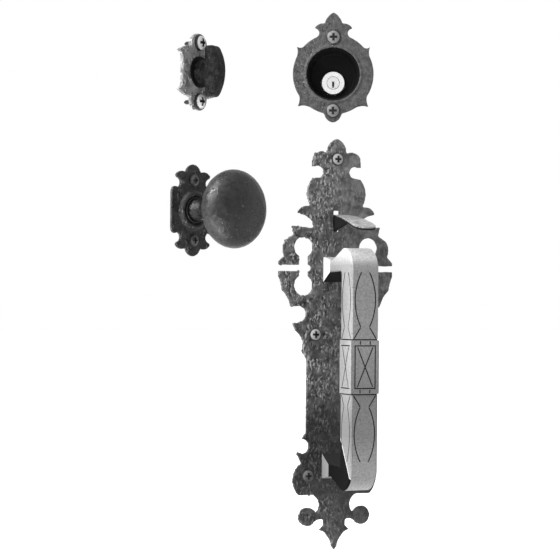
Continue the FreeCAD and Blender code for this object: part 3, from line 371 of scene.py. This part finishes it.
# Turn plate: the same kind of plate with pointed corners, its black rubbed greyer than on the others.
TURN_BACK = (-0.5591929, 0.8290376, 0.0)
turn_plate_iron = iron("turn_plate_iron", (0.16, 0.16, 0.16), (0.42, 0.42, 0.42), (0.80, 0.80, 0.80),
                       0.42, 0.30, 0.0030, 0.00040, 0.60)
turn_plate = even_copy("turn_plate", "turn_plate_hammered", 0.0008)
press(turn_plate, lambda p, n: hammer_marks(p, 0.00016) * facing(n, TURN_BACK))
turn_plate.data.materials.append(turn_plate_iron)
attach(turn_plate, "set")
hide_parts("turn_plate")

# Thumb lever: forged in one with its web and tail, softly hammered, rubbed bright on its top, with its web
# and underside painted black as shade. It hangs on a pin in the bracket behind the plate.
def paint_faces(piece, wanted):
    """Gives the piece's second material to each face for which wanted(centre, normal) holds."""
    for face in piece.data.polygons:
        if wanted(face.center, face.normal):
            face.material_index = 1


# one black for the cuts in the grip and for painted shade under the lever and behind the grip
cut_black_and_shade = bpy.data.materials.new("cut_black_and_shade")
cut_black_and_shade.use_nodes = True
black_and_shade = cut_black_and_shade.node_tree.nodes["Principled BSDF"]
black_and_shade.inputs["Base Color"].default_value = (0.016, 0.016, 0.016, 1.0)
black_and_shade.inputs["Roughness"].default_value = 0.7
black_and_shade.inputs["Specular IOR Level"].default_value = 0.08
lever_iron = iron("lever_iron", (0.20, 0.20, 0.20), (0.50, 0.50, 0.50), (0.75, 0.75, 0.75),
                  0.38, 0.4, 0.0022, 0.00025, 0.5)
lever = even_copy("thumb_lever", "thumb_lever_forged", 0.0007)
press(lever, lambda p, n: 0.00010 * rumple(p, 0.006) * (p[:, 1] < -0.005))
lever.data.materials.append(lever_iron)
lever.data.materials.append(cut_black_and_shade)
# the lever's web and underside are painted black as shade
paint_faces(lever, lambda centre, normal: centre.y > -0.0045 or normal.z < 0.05)
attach(lever, "thumb")
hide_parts("thumb_lever")

# Knob: a hollow casting with a fine leathery hammer pattern all over, satin black.
leathery = iron("leathery_iron", (0.002, 0.002, 0.002), (0.010, 0.010, 0.010), (0.12, 0.12, 0.12),
                0.30, 0.34, 0.0016, 0.00012, 0.0, pads=0.0013)
knob = even_copy("knob", "knob_cast", 0.0008)
press(knob, lambda p, n: (0.00012 * rumple(p, 0.0042) + 0.00008 * rumple(p, 0.0022)) * (p[:, 1] < -0.012))
knob.data.materials.append(leathery)
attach(knob, "knob_turning")
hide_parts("knob")

# Thumb turn: the oval turn and its round hub, one casting, with the same leathery finish, darker.
turn_iron = iron("turn_iron", (0.002, 0.002, 0.002), (0.024, 0.024, 0.024), (0.12, 0.12, 0.12),
                 0.42, 0.10, 0.0016, 0.00030, 0.0, pads=0.0013)
turn = even_copy("turn_grip", "turn_cast", 0.0006)
press(turn, lambda p, n: (0.00012 * rumple(p, 0.0042) + 0.00006 * rumple(p, 0.0022)))
turn.data.materials.append(turn_iron)
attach(turn, "turn_turning")
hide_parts("turn_grip")

# Grip: a heavy square bar with a proud band at its middle and a pattern cut into three of its faces.
# The black is rubbed down to grey metal on the flat faces and stays dark in the cuts. Painted light
# brightens its bends and painted shade darkens its middle, and the faces of the necks behind the bar
# are painted black as shade.
grip_iron = iron("rubbed_iron_and_painted_light", (0.60, 0.60, 0.60), (0.86, 0.86, 0.86), (0.90, 0.90, 0.90),
                 0.42, 0.3, 0.0006, 0.00008, 0.2,
                 shade=((-0.272, 1.0), (-0.250, 0.80), (-0.235, 0.55), (-0.205, 0.34), (-0.165, 0.33),
                        (-0.12, 0.445), (-0.055, 0.445), (-0.045, 0.48), (-0.040, 0.75), (-0.035, 0.95),
                        (-0.029, 1.0)))


def paint_grip_light_and_shade(material):
    """Painted light and shade on the grip: a painted highlight on the upper foot's flanks, painted shade on
    the lower foot's, the lower neck painted black as shade behind a strip of painted highlight, and the sides
    painted darker below the band as shade.
    """
    bar_side, foot_front, upper_foot, lower_foot, blur = 0.0121, -0.0188, -0.0702, -0.2060, 0.0002
    tree = material.node_tree
    shader = tree.nodes["Principled BSDF"]
    place, split = nodes_of(tree, "TexCoord", "SeparateXYZ")
    tree.links.new(place.outputs["Object"], split.inputs[0])
    across, deep, rise = split.outputs
    flank = ramp_of(tree, math_of(tree, "ABSOLUTE", across), bar_side - blur / 2.0, bar_side + blur / 2.0)
    foot = ramp_of(tree, deep, foot_front - blur, foot_front + blur)
    neck = ramp_of(tree, deep, foot_front + blur, foot_front - blur)
    high = ramp_of(tree, rise, upper_foot - blur, upper_foot + blur)
    low = ramp_of(tree, rise, lower_foot + blur, lower_foot - blur)
    low_neck = math_of(tree, "MULTIPLY", math_of(tree, "MULTIPLY", flank, neck), low)
    feet = math_of(tree, "MULTIPLY", flank, foot)

    # the painted shade ends at a slanting line, from the bar's front at its bottom to its back further up
    line = ramp_of(tree, rise, -0.247, -0.206, -0.0700, -0.0460)
    behind = math_of(tree, "SUBTRACT", deep, line)
    edge = math_of(tree, "MULTIPLY", low_neck, ramp_of(tree, behind, 0.0, 0.0003))
    black_and_shade = math_of(tree, "MULTIPLY", low_neck, ramp_of(tree, behind, 0.0008, 0.0012))
    # the sides below the band are painted darker, as shade
    below_band = math_of(tree, "MULTIPLY", flank, ramp_of(tree, rise, -0.166, -0.190))
    dim = nodes_of(tree, "VectorMath")[0]
    dim.operation = "SCALE"
    tree.links.new(shader.inputs["Base Color"].links[0].from_socket, dim.inputs[0])
    tree.links.new(ramp_of(tree, below_band, 0.0, 1.0, 1.0, 0.62), dim.inputs["Scale"])
    tone = dim.outputs[0]
    # edge: painted highlight; lower neck: painted shade; upper feet: painted light; lower feet: painted shade
    for mask, grey in ((edge, 0.85), (black_and_shade, 0.006), (math_of(tree, "MULTIPLY", feet, high), 0.95),
                       (math_of(tree, "MULTIPLY", feet, low), 0.20)):
        tone = mix_of(tree, mask, tone, (grey, grey, grey, 1.0))
    tree.links.new(tone, shader.inputs["Base Color"])
    tree.links.new(ramp_of(tree, black_and_shade, 0.0, 1.0, 0.3, 0.02), shader.inputs["Specular IOR Level"])


paint_grip_light_and_shade(grip_iron)


def crisp_copy(node, name):
    """A closed copy of a CAD node, smooth but for its edges of over 32 degrees."""
    mesh = nodes[node].data.copy()
    work = bmesh.new()
    work.from_mesh(mesh)
    bmesh.ops.remove_doubles(work, verts=work.verts, dist=1e-6)
    for face in work.faces:
        face.smooth = True
    for edge in work.edges:
        edge.smooth = len(edge.link_faces) == 2 and edge.calc_face_angle(0.0) < math.radians(32.0)
    work.to_mesh(mesh)
    work.free()
    mesh.materials.clear()
    piece = bpy.data.objects.new(name, mesh)
    scene.collection.objects.link(piece)
    return piece


def in_a_cut_or_shade(centre, normal):
    """Whether a face lies in the engraving of the bar, or on the faces behind the bar, where black is
    painted as shade.
    """
    bar_half, bar_front, bar_back, bar_middle = 0.01375, -0.0700, -0.0452, -0.1428
    x, y, z = centre
    if y > bar_back:
        return abs(z - bar_middle) < 0.1010 and abs(normal.x) < 0.5 and y < -0.0035
    if abs(z - bar_middle) > 0.0925:
        return False
    for deep, off, lean in ((y - bar_front, abs(x) - bar_half, abs(normal.y)),
                            (bar_half - abs(x), max(bar_front - y, y - bar_back), abs(normal.x))):
        bottom = lean > 0.9 and 0.00005 < deep < 0.0009 and off < -0.0012
        wall = lean < 0.3 and -0.0005 < deep < 0.0009 and off < -0.0012
        if bottom or wall:
            return True
    return False


grip = crisp_copy("grip", "grip_bar")
grip.data.materials.append(grip_iron)
grip.data.materials.append(cut_black_and_shade)
paint_faces(grip, in_a_cut_or_shade)
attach(grip, "set")
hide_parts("grip")


def metal(name, colour, rough, metallic=1.0, gloss=0.5):
    """Plain metal with a faint turned or rolled grain."""
    made = bpy.data.materials.new(name)
    made.use_nodes = True
    tree = made.node_tree
    shader = tree.nodes["Principled BSDF"]
    shader.inputs["Metallic"].default_value = metallic
    shader.inputs["Specular IOR Level"].default_value = gloss
    shader.inputs["Roughness"].default_value = rough
    place, relief = nodes_of(tree, "TexCoord", "Bump")
    grain = noise_of(tree, place.outputs["Object"], 700.0, 2.0, 0.0)
    darker, lighter = [c * 0.82 for c in colour], [min(c * 1.12, 1.0) for c in colour]
    tree.links.new(tones_of(tree, grain, ((0.0, darker), (1.0, lighter))), shader.inputs["Base Color"])
    relief.inputs["Distance"].default_value = 0.00004
    tree.links.new(grain, relief.inputs["Height"])
    tree.links.new(relief.outputs["Normal"], shader.inputs["Normal"])
    return made


# Screws: pan-head screws with a cross recess, their black rubbed off the heads. The turn's are nearly
# bright and the knob's still dark. Painted shade is black in and round the crosses and at the rims.
def head_steel(name, grey):
    """Rubbed steel, with painted shade black in the cross and at the rim by the head's UV map, and nearly
    black low down.
    """
    made = metal(name, (grey, grey, grey), 0.36, 0.0, 0.35)
    tree = made.node_tree
    shader = tree.nodes["Principled BSDF"]
    head, split, out_from, place, height = nodes_of(
        tree, "UVMap", "SeparateXYZ", "VectorMath", "TexCoord", "SeparateXYZ")
    head.uv_map = "head"
    tree.links.new(head.outputs["UV"], split.inputs[0])
    out_from.operation = "LENGTH"
    tree.links.new(head.outputs["UV"], out_from.inputs[0])
    tree.links.new(place.outputs["Object"], height.inputs[0])
    wide, tall = (math_of(tree, "ABSOLUTE", socket) for socket in split.outputs[:2])
    # painted shade: a dark ring at the rim, and black in and round the cross
    black = ramp_of(tree, out_from.outputs["Value"], 0.80, 0.88)
    for thin, reach in ((wide, tall), (tall, wide)):
        arm = math_of(tree, "MINIMUM", ramp_of(tree, thin, 0.20, 0.15), ramp_of(tree, reach, 0.56, 0.50))
        black = math_of(tree, "MAXIMUM", black, arm)
    black = math_of(tree, "MAXIMUM", black, ramp_of(tree, height.outputs["Z"], -0.20, -0.256))
    steel = shader.inputs["Base Color"].links[0].from_socket
    tree.links.new(mix_of(tree, black, steel, (0.012, 0.012, 0.012, 1.0)), shader.inputs["Base Color"])
    return made


# per set: the trim's place, its yaw in degrees, the heads on it, head radius, head depth, grey
SCREWS = {
    "plate_screws": ((0.0, 0.0, 0.0), 0.0, PLATE_SCREWS, 0.0062, 0.0032, 0.50),
    "rose_screws": ((-0.0036, 0.0, 0.1397), -24.0, [(0.0, 0.0354), (0.0, -0.0354)], 0.0070, 0.0032, 0.24),
    "knob_screws": ((-0.1474, 0.0, 0.0049), 23.5, [(0.0, 0.028), (0.0, -0.028)], 0.0057, 0.0032, 0.06),
    "turn_screws": ((-0.1438, 0.0, 0.134), 34.0, [(0.0, 0.0274), (0.0, -0.0274)], 0.0078, 0.0038, 0.80),
}
for node, (origin, yaw, places, radius, seat, grey) in SCREWS.items():
    made = crisp_copy(node, node + "_heads")
    mesh = made.data
    mesh.materials.append(head_steel(node + "_steel", grey))
    points = np.empty(len(mesh.vertices) * 3)
    mesh.vertices.foreach_get("co", points)
    to_trim = Matrix.Rotation(math.radians(yaw), 3, "Z")
    points = (points.reshape(-1, 3) - np.array(origin)) @ np.array(to_trim)
    offsets = points[:, None, [0, 2]] - np.array(places)[None]
    nearest = np.argmin(np.linalg.norm(offsets, axis=2), axis=1)
    spread = offsets[np.arange(len(points)), nearest] / radius
    spread[points[:, 1] > -seat + 0.0001] = 0.0
    corners = np.empty(len(mesh.loops), dtype=np.int32)
    mesh.loops.foreach_get("vertex_index", corners)
    while mesh.uv_layers:
        mesh.uv_layers.remove(mesh.uv_layers[0])
    mesh.uv_layers.new(name="head").data.foreach_set("uv", spread[corners].ravel())
    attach(made, "set")
    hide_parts(node)

# Everything else is plain metal: the cup and collars black, the cylinder bright, the works behind plain.
finishes = {
    "cylinder_cup": metal("cup_black", (0.008, 0.008, 0.008), 0.6, 0.0, 0.06),
    "lock_screws": metal("screw_black", (0.008, 0.008, 0.008), 0.6, 0.0, 0.06),
    "knob_collar": metal("collar_black", (0.010, 0.010, 0.011), 0.4, 0.0, 0.2),
    "turn_collar": metal("ring_black", (0.006, 0.006, 0.006), 0.5, 0.0, 0.08),
    "cylinder_body": metal("bright_face", (0.70, 0.70, 0.70), 0.3),
    "cylinder_plug": metal("bright_plug", (0.64, 0.64, 0.64), 0.3),
}
dark_steel = metal("blackened_steel", (0.16, 0.16, 0.165), 0.45)
spring_steel = metal("plain_steel", (0.52, 0.52, 0.53), 0.35)
pin_brass = metal("turned_brass", (0.72, 0.53, 0.24), 0.35)
for node in ("grip_screws", "lever_pin", "lever_bracket", "bracket_rivets", "knob_set_screw",
             "knob_ring", "turn_ring"):
    finishes[node] = dark_steel
for node in ("lever_spring", "pin_springs", "tailpiece", "knob_spindle", "turn_spindle"):
    finishes[node] = spring_steel
for node in ("bottom_pins", "driver_pins", "pin_cover", "tail_cap"):
    finishes[node] = pin_brass
for node, finish in finishes.items():
    slots_of = nodes[node].data.materials
    if not len(slots_of):
        slots_of.append(finish)
    for index in range(len(slots_of)):
        slots_of[index] = finish
